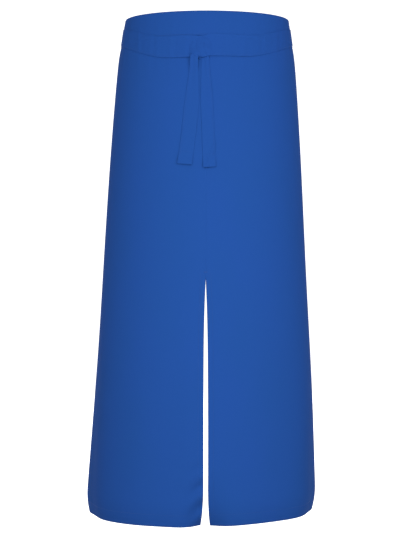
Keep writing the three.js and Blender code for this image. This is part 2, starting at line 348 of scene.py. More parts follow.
@dataclass(frozen=True)
class WovenFinish:
    """Dyed cotton twill: diagonal ribs of yarn, slubs, a soft nap and slight unevenness of dye."""

    name: str
    colour: tuple[float, float, float]
    rib_pitch: float = 0.9 * MM
    yarn_pitch: float = 0.55 * MM
    relief: float = 0.16
    sheen: float = 0.03

    def make(self) -> bpy.types.Material:
        """Builds the cloth's material on its flat coordinates."""
        material, tree, shader = new_material(self.name)
        links = tree.links
        flat = tree.nodes.new("ShaderNodeUVMap")
        flat.uv_map = "Flat"
        split = tree.nodes.new("ShaderNodeSeparateXYZ")
        links.new(flat.outputs["UV"], split.inputs[0])
        u, v = split.outputs[0], split.outputs[1]

        slant = math_node(tree, "ADD", u, math_node(tree, "MULTIPLY", v, 0.62))
        ribs = math_node(tree, "SINE", math_node(tree, "MULTIPLY", slant, math.tau / self.rib_pitch))
        warp = math_node(tree, "SINE", math_node(tree, "MULTIPLY", u, math.tau / self.yarn_pitch))
        weft = math_node(tree, "SINE", math_node(tree, "MULTIPLY", v, math.tau / self.yarn_pitch))
        yarns = math_node(tree, "MULTIPLY", warp, weft)
        weave = math_node(tree, "ADD", math_node(tree, "MULTIPLY", ribs, 0.6), yarns)

        slubs = self.noise(tree, flat.outputs["UV"], (90.0, 1400.0, 1.0), 3.0)
        dye = self.noise(tree, flat.outputs["UV"], (9.0, 5.0, 1.0), 3.0)
        nap = self.noise(tree, flat.outputs["UV"], (700.0, 700.0, 1.0), 2.0)

        links.new(self.tint(tree, dye, slubs, weave), shader.inputs["Base Color"])
        rough = math_node(tree, "ADD", 0.82, math_node(tree, "MULTIPLY", nap, 0.12))
        links.new(rough, shader.inputs["Roughness"])
        height = math_node(tree, "ADD", math_node(tree, "MULTIPLY", weave, 0.5), nap)
        links.new(self.bump(tree, height), shader.inputs["Normal"])
        shader.inputs["Sheen Weight"].default_value = self.sheen
        shader.inputs["Sheen Roughness"].default_value = 0.5
        shader.inputs["Sheen Tint"].default_value = (*[min(1.0, 2.5 * c) for c in self.colour], 1.0)
        shader.inputs["Specular IOR Level"].default_value = 0.03
        return material

    def noise(
        self,
        tree: bpy.types.NodeTree,
        flat: bpy.types.NodeSocket,
        scale: tuple[float, float, float],
        detail: float,
    ) -> bpy.types.NodeSocket:
        """Noise on the flat coordinates, stretched by scale."""
        mapping = tree.nodes.new("ShaderNodeMapping")
        mapping.inputs["Scale"].default_value = scale
        texture = tree.nodes.new("ShaderNodeTexNoise")
        texture.inputs["Scale"].default_value = 1.0
        texture.inputs["Detail"].default_value = detail
        tree.links.new(flat, mapping.inputs["Vector"])
        tree.links.new(mapping.outputs["Vector"], texture.inputs["Vector"])
        return texture.outputs["Fac"]

    def tint(
        self,
        tree: bpy.types.NodeTree,
        dye: bpy.types.NodeSocket,
        slubs: bpy.types.NodeSocket,
        weave: bpy.types.NodeSocket,
    ) -> bpy.types.NodeSocket:
        """The dyed colour, a little uneven and lighter on slubs, with painted shade between the yarns where
        the weave's relief dips.
        """
        value = math_node(tree, "ADD", 0.93, math_node(tree, "MULTIPLY", dye, 0.10))
        value = math_node(tree, "ADD", value, math_node(tree, "MULTIPLY", slubs, 0.05))
        # Painted shade: the weave's relief darkens the colour between the yarns, where shade falls, and
        # lightens it on the yarns' tops.
        value = math_node(tree, "ADD", value, math_node(tree, "MULTIPLY", weave, 0.035))
        shade = tree.nodes.new("ShaderNodeHueSaturation")
        shade.inputs["Color"].default_value = (*self.colour, 1.0)
        hue = math_node(tree, "ADD", 0.4975, math_node(tree, "MULTIPLY", dye, 0.005))
        tree.links.new(hue, shade.inputs["Hue"])
        tree.links.new(value, shade.inputs["Value"])
        return shade.outputs["Color"]

    def bump(
        self, tree: bpy.types.NodeTree, height: bpy.types.NodeSocket
    ) -> bpy.types.NodeSocket:
        """The normal of the yarns' relief."""
        node = tree.nodes.new("ShaderNodeBump")
        node.inputs["Strength"].default_value = self.relief
        node.inputs["Distance"].default_value = 0.15 * MM
        tree.links.new(height, node.inputs["Height"])
        return node.outputs["Normal"]


@dataclass(frozen=True)
class ThreadFinish:
    """Spun polyester sewing thread, twisted, with a slight gloss."""

    name: str
    colour: tuple[float, float, float]
    twist_pitch: float = 0.5 * MM

    def make(self) -> bpy.types.Material:
        """Builds the thread's material on object coordinates."""
        material, tree, shader = new_material(self.name)
        place = tree.nodes.new("ShaderNodeTexCoord")
        twist = tree.nodes.new("ShaderNodeTexWave")
        twist.bands_direction = "DIAGONAL"
        twist.inputs["Scale"].default_value = 0.3 / self.twist_pitch
        twist.inputs["Distortion"].default_value = 0.6
        fluff = tree.nodes.new("ShaderNodeTexNoise")
        fluff.inputs["Scale"].default_value = 900.0
        tree.links.new(place.outputs["Object"], twist.inputs["Vector"])
        tree.links.new(place.outputs["Object"], fluff.inputs["Vector"])
        shade = tree.nodes.new("ShaderNodeHueSaturation")
        shade.inputs["Color"].default_value = (*self.colour, 1.0)
        # Painted shade: the colour is darker in the twist's grooves and lighter on its ridges, following
        # the same wave as the bump.
        value = math_node(tree, "MULTIPLY", twist.outputs["Fac"], 0.18)
        value = math_node(tree, "ADD", value, math_node(tree, "MULTIPLY", fluff.outputs["Fac"], 0.1))
        tree.links.new(math_node(tree, "ADD", 0.86, value), shade.inputs["Value"])
        tree.links.new(shade.outputs["Color"], shader.inputs["Base Color"])
        rough = math_node(tree, "ADD", 0.5, math_node(tree, "MULTIPLY", fluff.outputs["Fac"], 0.2))
        tree.links.new(rough, shader.inputs["Roughness"])
        bump = tree.nodes.new("ShaderNodeBump")
        bump.inputs["Strength"].default_value = 0.3
        bump.inputs["Distance"].default_value = 0.1 * MM
        tree.links.new(twist.outputs["Fac"], bump.inputs["Height"])
        tree.links.new(bump.outputs["Normal"], shader.inputs["Normal"])
        shader.inputs["Specular IOR Level"].default_value = 0.15
        return material


@dataclass(frozen=True)
class LiningFinish:
    """Off-white non-woven stiffener with a felted surface."""

    name: str
    colour: tuple[float, float, float]

    def make(self) -> bpy.types.Material:
        """Builds the stiffener's material on object coordinates."""
        material, tree, shader = new_material(self.name)
        place = tree.nodes.new("ShaderNodeTexCoord")
        felt = tree.nodes.new("ShaderNodeTexNoise")
        felt.inputs["Scale"].default_value = 420.0
        felt.inputs["Detail"].default_value = 4.0
        ramp = tree.nodes.new("ShaderNodeValToRGB")
        ramp.color_ramp.elements[0].color = (*[0.8 * c for c in self.colour], 1.0)
        ramp.color_ramp.elements[1].color = (*self.colour, 1.0)
        bump = tree.nodes.new("ShaderNodeBump")
        bump.inputs["Strength"].default_value = 0.4
        bump.inputs["Distance"].default_value = 0.2 * MM
        tree.links.new(place.outputs["Object"], felt.inputs["Vector"])
        tree.links.new(felt.outputs["Fac"], ramp.inputs["Fac"])
        tree.links.new(ramp.outputs["Color"], shader.inputs["Base Color"])
        tree.links.new(felt.outputs["Fac"], bump.inputs["Height"])
        tree.links.new(bump.outputs["Normal"], shader.inputs["Normal"])
        shader.inputs["Roughness"].default_value = 0.95
        return material


# ---- Making cloth and stitches ---------------------------------------------------------------

Flat = tuple[float, float, float]


def new_piece(name: str, bm: bmesh.types.BMesh, material: bpy.types.Material) -> bpy.types.Object:
    """Turns a finished bmesh into an object in the scene, and frees the bmesh.

    Args:
        name: The object's name.
        bm: The finished bmesh.
        material: The object's one finish.

    Returns:
        The new object.
    """
    mesh = bpy.data.meshes.new(name)
    bm.to_mesh(mesh)
    bm.free()
    mesh.materials.append(material)
    piece = bpy.data.objects.new(name, mesh)
    bpy.context.collection.objects.link(piece)
    return piece


def fix_to_skirt(piece: bpy.types.Object, slot: str, *nodes: str) -> bpy.types.Object:
    """Hides the frame's nodes that a piece stands for, if any, and fixes it to the skirt."""
    if nodes:
        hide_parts(*nodes)
    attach(piece, "skirt")
    return piece


def zigzag(s: float, stroke: float = 2 * MM) -> float:
    """How far across a tack's zigzag has got, from 0 to 1 and back, a distance along it."""
    turn = (s / stroke) % 2
    return turn if turn < 1 else 2 - turn


def half_turn(radius: float, turns: int = 4) -> list[tuple[float, float]]:
    """A half circle of folded cloth, as (distance along, depth behind) pairs from its start."""
    angles = [math.pi * k / turns for k in range(1, turns + 1)]
    return [(radius * math.sin(angle), radius - radius * math.cos(angle)) for angle in angles]


def turned_stations(length: float, steps: int, first: float = 0.0, last: float = 0.0) -> list[tuple]:
    """Places along a length of cloth whose ends may turn inwards in a half circle.

    Args:
        length: The length in metres.
        steps: How many even steps the flat part takes.
        first: Radius of the turn at the start, or 0 for a raw end.
        last: Radius of the turn at the end, or 0 for a raw end.

    Returns:
        A (share of the length, depth behind the flat part) pair for each place, in order.
    """
    start = [((first - along) / length, depth) for along, depth in half_turn(first)] if first else []
    flat = [(mix(first, length - last, k / steps) / length, 0.0) for k in range(steps + 1)]
    end = [((length - last + along) / length, depth) for along, depth in half_turn(last)] if last else []
    return start[::-1] + flat + end


@dataclass
class Workroom:
    """Cuts, hangs and sews pieces: it holds the form, the creases and the finishes."""

    form: BodyForm
    creases: Creases
    cloth: bpy.types.Material
    thread: bpy.types.Material
    lining: bpy.types.Material

    def hang(self, at: Flat) -> Vector:
        """A point of flat cloth on the form, with the creases there."""
        across, drop, off = at
        return self.form.place(across, drop, off + self.creases.lift(across, drop))

    def sheet(
        self,
        name: str,
        columns: list[tuple],
        rows: list[tuple],
        lay: Callable[[tuple, tuple], Flat],
        thickness: float = CLOTH,
        material: bpy.types.Material | None = None,
    ) -> bpy.types.Object:
        """A hung sheet of cloth, made from a flat grid.

        Args:
            name: The piece's name.
            columns: Stations from left to right.
            rows: Stations from top to bottom.
            lay: Gives the flat place of a column and a row.
            thickness: The cloth's thickness.
            material: Its finish, or None for the apron's own cloth.

        Returns:
            The new object.
        """
        bm = bmesh.new()
        wide, high = len(columns) - 1, len(rows) - 1
        bmesh.ops.create_grid(bm, x_segments=wide, y_segments=high, size=0.5)
        flat_map = bm.loops.layers.uv.new("Flat")
        flat = {}
        for vert in bm.verts:
            column = columns[round((vert.co.x + 0.5) * wide)]
            row = rows[round((0.5 - vert.co.y) * high)]
            at = lay(column, row)
            flat[vert] = at
            vert.co = self.hang(at)
        for face in bm.faces:
            face.smooth = True
            for loop in face.loops:
                across, drop, _ = flat[loop.vert]
                loop[flat_map].uv = (across, -drop)
        piece = new_piece(name, bm, material or self.cloth)
        solid = piece.modifiers.new("Cloth thickness", "SOLIDIFY")
        solid.thickness = thickness
        solid.offset = 0.0
        return piece

    def stitches(
        self,
        name: str,
        runs: list[tuple[Callable[[float], Flat], float]],
        length: float = 2.6 * MM,
        pitch: float = 3.3 * MM,
        width: float = 0.75 * MM,
    ) -> bpy.types.Object:
        """Rows of single stitches that lie on the cloth.

        Args:
            name: The piece's name.
            runs: For each row, a path from distance to flat place, and the row's length.
            length: One stitch's length.
            pitch: Distance from one stitch to the next.
            width: The thread's width.

        Returns:
            The new object.
        """
        bm = bmesh.new()
        for path, run in runs:
            for k in range(int(run / pitch)):
                s = (k + 0.5) * pitch
                here = self.hang(path(s))
                along = (self.hang(path(s + pitch / 4)) - self.hang(path(s - pitch / 4))).normalized()
                across, drop, off = path(s)
                out = (self.hang((across, drop, off + MM)) - here).normalized()
                beside = out.cross(along).normalized()
                basis = Matrix((along * length, beside * width, out * 0.5 * width)).transposed().to_4x4()
                turn = Matrix.Translation(here) @ basis
                bmesh.ops.create_uvsphere(bm, u_segments=6, v_segments=4, radius=0.5, matrix=turn)
        for face in bm.faces:
            face.smooth = True
        bmesh.ops.recalc_face_normals(bm, faces=bm.faces)
        return new_piece(name, bm, self.thread)


# ---- Sub-assemblies --------------------------------------------------------------------------


@dataclass
class Waistband:
    """The folded band round the waist, its stiffener and its two rows of stitching."""

    room: Workroom
    row_inset: float = 2.4 * MM
    lining_inset: float = 3.0 * MM

    def build(self) -> list[bpy.types.Object]:
        """Makes the band, the stiffener and the stitching."""
        return [self.band(), self.stiffener(), self.row("top", True), self.row("bottom", False)]

    def edge(self, drop: float) -> float:
        """Distance across to the band's end."""
        return self.room.form.back_edge(drop)

    def band(self) -> bpy.types.Object:
        """One strip of cloth, folded over along the top edge."""
        height = self.room.form.band_height
        radius = (BAND_LAYER - INNER_LAYER) / 2
        columns = [(k / 170, 0.0) for k in range(171)]
        outer = [(mix(height, radius, k / 12), BAND_LAYER) for k in range(13)]
        fold = [(radius - along, BAND_LAYER - depth) for along, depth in half_turn(radius, 8)[:-1]]
        inner = [(mix(radius, height, k / 12), INNER_LAYER) for k in range(13)]
        turn = [(height + 0.2 * MM, BAND_LAYER - 0.1 * MM), (height, BAND_LAYER - 0.2 * MM)]
        rows = list(reversed(turn)) + outer + fold + inner
        band = self.room.sheet("waistband", columns, rows, self.lay, 0.9 * CLOTH)
        fix_to_skirt(band, "apron_cloth", "waistband_outer", "waistband_inner")
        size = (2 * self.edge(0.0), 2 * height + 5 * MM)
        return band

    def lay(self, column: tuple, row: tuple) -> Flat:
        """The flat place of one point of the folded band."""
        drop, off = row
        edge = self.edge(drop)
        return mix(-edge, edge, column[0]), drop, off

    def stiffener(self) -> bpy.types.Object:
        """The strip of interlining between the band's two faces."""
        low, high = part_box("waistband_interlining")
        inset = self.lining_inset
        top, bottom = -high.z + 0.5 * MM, -low.z
        columns = [(k / 120, 0.0) for k in range(121)]
        rows = [(k / 6, 0.0) for k in range(7)]

        def lay(column: tuple, row: tuple) -> Flat:
            """The flat place of one point of the stiffener."""
            drop = mix(top, bottom, row[0])
            edge = self.edge(drop) - inset
            return mix(-edge, edge, column[0]), drop, PANEL_LAYER

        piece = self.room.sheet("waistband_stiffener", columns, rows, lay, 0.6 * MM, self.room.lining)
        fix_to_skirt(piece, "interlining", "waistband_interlining")
        wide = 2 * (self.edge(0.0) - inset)
        return piece

    def row(self, word: str, is_top: bool) -> bpy.types.Object:
        """One row of stitching along the band's top or bottom edge."""
        height = self.room.form.band_height
        drop = self.row_inset if is_top else height - self.row_inset
        edge = self.edge(drop) - self.row_inset

        def path(s: float) -> Flat:
            """The flat place a distance along the row."""
            return s - edge, drop, BAND_LAYER + THREAD_SEAT * CLOTH

        piece = self.room.stitches(f"waistband_{word}_row", [(path, 2 * edge)])
        return fix_to_skirt(piece, "sewing_thread", f"waistband_{word}_stitch")


@dataclass
class SkirtHalf:
    """One panel of the skirt from band to hem, with the hems turned inside it and their stitching."""

    room: Workroom
    side: Side
    slit_gap: float = 9.7 * MM
    corner_gap: float = 12.0 * MM
    seam_groove: float = 0.03 * MM
    edge_hem: float = 12.0 * MM
    bottom_hem: float = 25.0 * MM
    fold: float = (PANEL_LAYER - INNER_LAYER) / 2
    row_inset: float = 2.2 * MM
    panel_top: float = field(init=False)
    leg_top: float = field(init=False)

    def __post_init__(self) -> None:
        """Takes the panel's top and the leg's top from the frame."""
        _, hip_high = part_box(f"{self.side.word}_hip_panel")
        _, leg_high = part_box(f"{self.side.word}_leg_panel")
        self.panel_top = -hip_high.z
        self.leg_top = -leg_high.z

    def build(self) -> list[bpy.types.Object]:
        """Makes the panel, its hems and its stitching."""
        return [
            self.panel(),
            self.slit_hem(),
            self.side_hem(),
            self.low_hem(),
            self.slit_row(),
            self.side_row(),
            self.low_row(),
        ]

    def finish(self, piece: bpy.types.Object, slot: str, *nodes: str) -> bpy.types.Object:
        """Hides the frame's nodes that a piece stands for and bakes its place into its mesh."""
        word = self.side.word
        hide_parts(*[f"{word}_{node}" for node in nodes])
        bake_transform(piece)
        return piece

    def near(self, drop: float) -> float:
        """Distance from centre front to this side of the seam or slit."""
        form = self.room.form
        line = self.side.value * form.centre_line(drop)
        share = (drop - form.slit_head) / (form.length - form.slit_head)
        opening = self.slit_gap * math.tanh(4.6 * max(0.0, share - 0.004))
        gap = opening + self.corner_gap * max(0.0, (share - 0.8) / 0.2) ** 3
        return max(self.seam_groove, gap / 2) + line

    def far(self, drop: float) -> float:
        """Distance from centre front to the back edge."""
        return self.room.form.back_edge(drop)

    def signed(self, distance: float) -> float:
        """A distance across with this side's sign."""
        return self.side.value * distance

    def seam_turn(self, drop: float) -> float:
        """How fully the inner edge turns in: tight along the seam, full beside the slit."""
        return mix(0.35, 1.0, ease((drop - self.room.form.slit_head) / 0.02))

    def panel(self) -> bpy.types.Object:
        """The whole panel, its free edges turned in."""
        length = self.room.form.length - self.panel_top
        width = self.far(self.room.form.length)
        columns = turned_stations(width, 92, first=self.fold, last=self.fold)
        rows = turned_stations(length, 168, last=self.fold)

        def lay(column: tuple, row: tuple) -> Flat:
            """The flat place of one point of the panel."""
            drop = mix(self.panel_top, self.room.form.length, row[0])
            turn = 1.0 if column[0] > 0.5 else self.seam_turn(drop)
            distance = mix(self.near(drop), self.far(drop), column[0])
            return self.signed(distance), drop, PANEL_LAYER - max(turn * column[1], row[1])

        if self.side is Side.LEFT:
            columns = list(reversed(columns))
        piece = self.room.sheet(f"{self.side.word}_panel", columns, rows, lay)
        self.finish(piece, "apron_cloth", "hip_panel", "leg_panel")
        waist = self.far(self.panel_top)
        return piece

    def strip(
        self, name: str, top: float, bottom: float, inner: Callable, outer: Callable, steps: int
    ) -> bpy.types.Object:
        """A strip of turned-in cloth on the inside of the panel."""
        columns = [(k / steps, 0.0) for k in range(steps + 1)]
        high = max(3, round((bottom - top) / (7 * MM)))
        rows = [(k / high, 0.0) for k in range(high + 1)]

        def lay(column: tuple, row: tuple) -> Flat:
            """The flat place of one point of the strip."""
            drop = mix(top, bottom, row[0])
            return self.signed(mix(inner(drop), outer(drop), column[0])), drop, INNER_LAYER

        if self.side is Side.LEFT:
            columns = list(reversed(columns))
        return self.room.sheet(f"{self.side.word}_{name}", columns, rows, lay)

    def slit_hem(self) -> bpy.types.Object:
        """The seam allowance beside the centre seam, which runs on down as the slit's hem."""
        form = self.room.form
        top, bottom = form.band_height + 1 * MM, form.length - self.bottom_hem - 1 * MM
        piece = self.strip("slit_facing", top, bottom, self.near, lambda d: self.near(d) + self.edge_hem, 4)
        return self.hemmed(piece, "seam_allowance", "slit_hem", size=(self.edge_hem, bottom - top))

    def side_hem(self) -> bpy.types.Object:
        """The hem down the back edge."""
        form = self.room.form
        top, bottom = form.band_height + 1 * MM, form.length - self.bottom_hem - 1 * MM
        piece = self.strip("back_edge_hem", top, bottom, lambda d: self.far(d) - self.edge_hem, self.far, 4)
        size = (self.edge_hem, bottom - top)
        return self.hemmed(piece, "side_hem_upper", "side_hem_lower", size=size)

    def low_hem(self) -> bpy.types.Object:
        """The hem along the bottom edge."""
        form = self.room.form
        top, bottom = form.length - self.bottom_hem, form.length - 0.3 * MM
        piece = self.strip("hem_facing", top, bottom, self.near, self.far, 92)
        width = self.far(form.length) - self.near(form.length)
        return self.hemmed(piece, "bottom_hem", size=(width, self.bottom_hem))

    def hemmed(self, piece: bpy.types.Object, *nodes: str, size: tuple) -> bpy.types.Object:
        """Finishes a turned-in strip."""
        self.finish(piece, "apron_cloth", *nodes)
        return piece

    def slit_row(self) -> bpy.types.Object:
        """The row of stitching beside the slit."""
        return self.upright_row("slit_row", self.leg_top, True, "slit_stitch")

    def side_row(self) -> bpy.types.Object:
        """The row of stitching down the back edge."""
        top = self.room.form.band_height + 2 * MM
        return self.upright_row("side_row", top, False, "side_stitch_upper", "side_stitch_lower")

    def upright_row(self, name: str, top: float, is_near: bool, *nodes: str) -> bpy.types.Object:
        """A row of stitching from a height down to the bottom hem."""
        inset = self.edge_hem - self.row_inset
        run = self.room.form.length - self.bottom_hem - top

        def path(s: float) -> Flat:
            """The flat place a distance down the row."""
            drop = top + s
            distance = self.near(drop) + inset if is_near else self.far(drop) - inset
            return self.signed(distance), drop, PANEL_LAYER + THREAD_SEAT * CLOTH

        piece = self.room.stitches(f"{self.side.word}_{name}", [(path, run)])
        return self.finish(piece, "sewing_thread", *nodes)

    def low_row(self) -> bpy.types.Object:
        """The row of stitching along the bottom hem."""
        drop = self.room.form.length - self.bottom_hem + self.row_inset
        near, far = self.near(drop) + 1 * MM, self.far(drop) - 1 * MM

        def path(s: float) -> Flat:
            """The flat place a distance along the row."""
            return self.signed(near + s), drop, PANEL_LAYER + THREAD_SEAT * CLOTH

        piece = self.room.stitches(f"{self.side.word}_hem_row", [(path, far - near)])
        return self.finish(piece, "sewing_thread", "bottom_stitch")


@dataclass
class CentreSeam:
    """The seam that joins the two panels, and the dense stitches that stop the slit running up."""

    room: Workroom
    tack_half: float = 3.5 * MM

    def build(self) -> list[bpy.types.Object]:
        """Makes the seam's thread and the bar tack."""
        return [self.seam(), self.tack()]

    def seam(self) -> bpy.types.Object:
        """Stitches down in the seam's groove."""
        low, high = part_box("centre_seam_thread")
        top = -high.z + 12 * MM

        def path(s: float) -> Flat:
            """The flat place a distance down the seam."""
            return self.room.form.centre_line(top + s), top + s, PANEL_LAYER + 0.15 * MM

        run = -low.z - top
        piece = self.room.stitches("centre_seam_row", [(path, run)], width=0.5 * MM)
        return fix_to_skirt(piece, "sewing_thread", "centre_seam_thread")

    def tack(self) -> bpy.types.Object:
        """Close upright stitches across the head of the slit."""
        low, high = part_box("slit_bar_tack")
        top, bottom = -high.z, -low.z
        half = self.tack_half
        run = 8 * half

        def path(s: float) -> Flat:
            """The flat place a distance along the tack's zigzag."""
            drop = mix(top, bottom, zigzag(s))
            across = self.room.form.centre_line(drop) + mix(-half, half, s / run)
            return across, drop, PANEL_LAYER + 0.5 * CLOTH

        rows = [(path, run)]
        piece = self.room.stitches("slit_tack", rows, pitch=1.0 * MM, length=2.0 * MM, width=0.5 * MM)
        return fix_to_skirt(piece, "sewing_thread", "slit_bar_tack")


@dataclass
class Tie:
    """One tie from its root on the waistband's end, across the back and round to the knot."""

    room: Workroom
    side: Side
    is_upper: bool
    width: float = 38 * MM
    front_width: float = 45 * MM
    knot_width: float = 42 * MM
    bunched: float = 20 * MM
    drop_root: float = 13 * MM
    drop_passing: float = 45 * MM
    root_overlap: float = 12 * MM
    cloth: float = 0.5 * MM
    fold: float = 0.25 * MM
    lift_over: float = 1.1 * MM
    knot_end: float = field(init=False)
    drop_side: float = field(init=False)

    def __post_init__(self) -> None:
        """Takes the end beside the knot from the frame and the line at the sides from the form."""
        low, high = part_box("knot_wrap")
        middle = (low.x + high.x) / 2
        self.knot_end = self.side.value * middle - (0 if self.is_upper else 8) * MM
        self.drop_side = self.room.form.tie_side - self.width / 2

    @cached_property
    def band_end(self) -> float:
        """Distance round to this side's end of the waistband."""
        return self.room.form.back_edge(self.drop_side)

    @cached_property
    def back_centre(self) -> float:
        """Distance round to the middle of the back."""
        return self.room.form.across_at(math.pi, self.drop_side)

    @cached_property
    def root_end(self) -> float:
        """Distance round to the tie's sewn end, on the far end of the waistband."""
        return 2 * self.back_centre - self.band_end + self.root_overlap

    def build(self) -> list[bpy.types.Object]:
        """Makes the tie, its edge stitching and its bar tack."""
        return [self.band(), self.edge_row(), self.tack()]

    def low(self, distance: float) -> float:
        """Height below the top edge of the tie's lower edge."""
        if distance < self.room.form.quarter:
            return self.room.form.tie_edge(self.side.value * distance)
        end = self.band_end
        half = self.spread(distance) / 2
        if distance < end:
            start = end - 2 * self.width
            passing = ease((distance - start) / (end - start))
            return mix(self.drop_side, self.drop_passing, passing) + half
        root = 2 * self.back_centre - end
        return mix(self.drop_passing, self.drop_root, min(1.0, (distance - end) / (root - end))) + half

    def spread(self, distance: float) -> float:
        """Width of the tie: flat in front, drawn in at the knot and bunched at the crossing behind."""
        flat = mix(self.front_width, self.width, ease(distance / self.room.form.quarter))
        front = ease((distance - self.knot_end) / self.width)
        back = ease((distance - (self.band_end - 2 * self.width)) / (1.6 * self.width))
        return min(mix(self.knot_width, flat, front), mix(flat, self.bunched, back))

    def rest(self, drop: float) -> float:
        """Distance off the form where the tie lies on the band, or on the skirt below the band."""
        below = ease((drop - self.room.form.band_height) / (5 * MM))
        beneath = mix(BAND_LAYER, PANEL_LAYER, below) + CLOTH / 2
        return beneath + 0.05 * MM + 2 * self.fold + self.cloth / 2

    def lift(self, distance: float) -> float:
        """How far this tie stands out where it passes over the other one behind."""
        if not self.is_upper:
            return 0.0
        away = abs(distance - self.back_centre) / (self.back_centre - self.band_end)
        behind = 1 - ease((away - 0.66) / 0.3)
        past_knot = distance - self.knot_end
        before = (1 - ease((past_knot - 18 * MM) / (30 * MM))) * ease(past_knot / (5 * MM))
        return self.lift_over * max(behind, before)

    def pleats(self, distance: float, q: float) -> float:
        """Lengthwise folds where the tie is bunched."""
        squeeze = max(0.0, 1 - self.spread(distance) / self.width)
        ridges = math.sin(math.pi * (3.0 * q + 0.3)) + 0.5 * math.sin(math.pi * 7 * q)
        return 0.7 * MM * squeeze * (1.5 + ridges)

    def sag(self, distance: float, q: float) -> float:
        """How the lower edge stands away from the skirt in front, most beside the knot."""
        front = 1 - ease((distance - 60 * MM) / (120 * MM))
        knot = 1 - ease((distance - 10 * MM) / (30 * MM))
        return (0.9 * front + 0.9 * knot) * MM * q * q

    def place(self, distance: float, q: float) -> Flat:
        """The flat place a distance along the tie and a share q down its width."""
        drop = self.low(distance) - self.spread(distance) * (1 - q)
        off = self.rest(drop) + self.lift(distance) + self.pleats(distance, q) + self.sag(distance, q)
        return self.side.value * distance, drop, off

    def band(self) -> bpy.types.Object:
        """The tie's cloth, sewn double."""
        length = self.root_end - self.knot_end
        columns = [(k / 220, 0.0) for k in range(221)]
        rows = turned_stations(self.width, 22, first=self.fold, last=self.fold)

        def lay(column: tuple, row: tuple) -> Flat:
            """The flat place of one point of the tie."""
            across, drop, off = self.place(mix(self.knot_end, self.root_end, column[0]), row[0])
            return across, drop, off - row[1]

        if self.side is Side.LEFT:
            columns = list(reversed(columns))
        piece = self.room.sheet(f"{self.side.word}_tie", columns, rows, lay, self.cloth)
        fix_to_skirt(piece, "apron_cloth", f"{self.side.word}_tie_band")
        return piece

    def edge_row(self) -> bpy.types.Object:
        """Stitching along the tie's lower edge, which closes the folded strip."""
        run = self.root_end - self.knot_end - 16 * MM

        def path(s: float) -> Flat:
            """The flat place a distance along the row."""
            across, drop, off = self.place(self.knot_end + 10 * MM + s, 0.93)
            return across, drop, off + THREAD_SEAT * self.cloth

        piece = self.room.stitches(f"{self.side.word}_tie_row", [(path, run)], width=0.5 * MM)
        return fix_to_skirt(piece, "sewing_thread")

    def tack(self) -> bpy.types.Object:
        """Close stitches that hold the tie's root to the waistband."""
        middle = self.root_end - self.root_overlap / 2
        half = self.bunched / 2 - 2 * MM
        run = 8 * half

        def path(s: float) -> Flat:
            """The flat place a distance along the tack's zigzag."""
            distance = middle + mix(-1.2, 1.2, zigzag(s)) * MM
            q = 0.5 + mix(-half, half, s / run) / self.bunched
            across, drop, off = self.place(distance, q)
            return across, drop, off + 0.7 * self.cloth

        name = f"{self.side.word}_tie_tack"
        piece = self.room.stitches(name, [(path, run)], pitch=1.0 * MM, length=2.0 * MM)
        return fix_to_skirt(piece, "sewing_thread", f"{self.side.word}_tie_bar_tack")


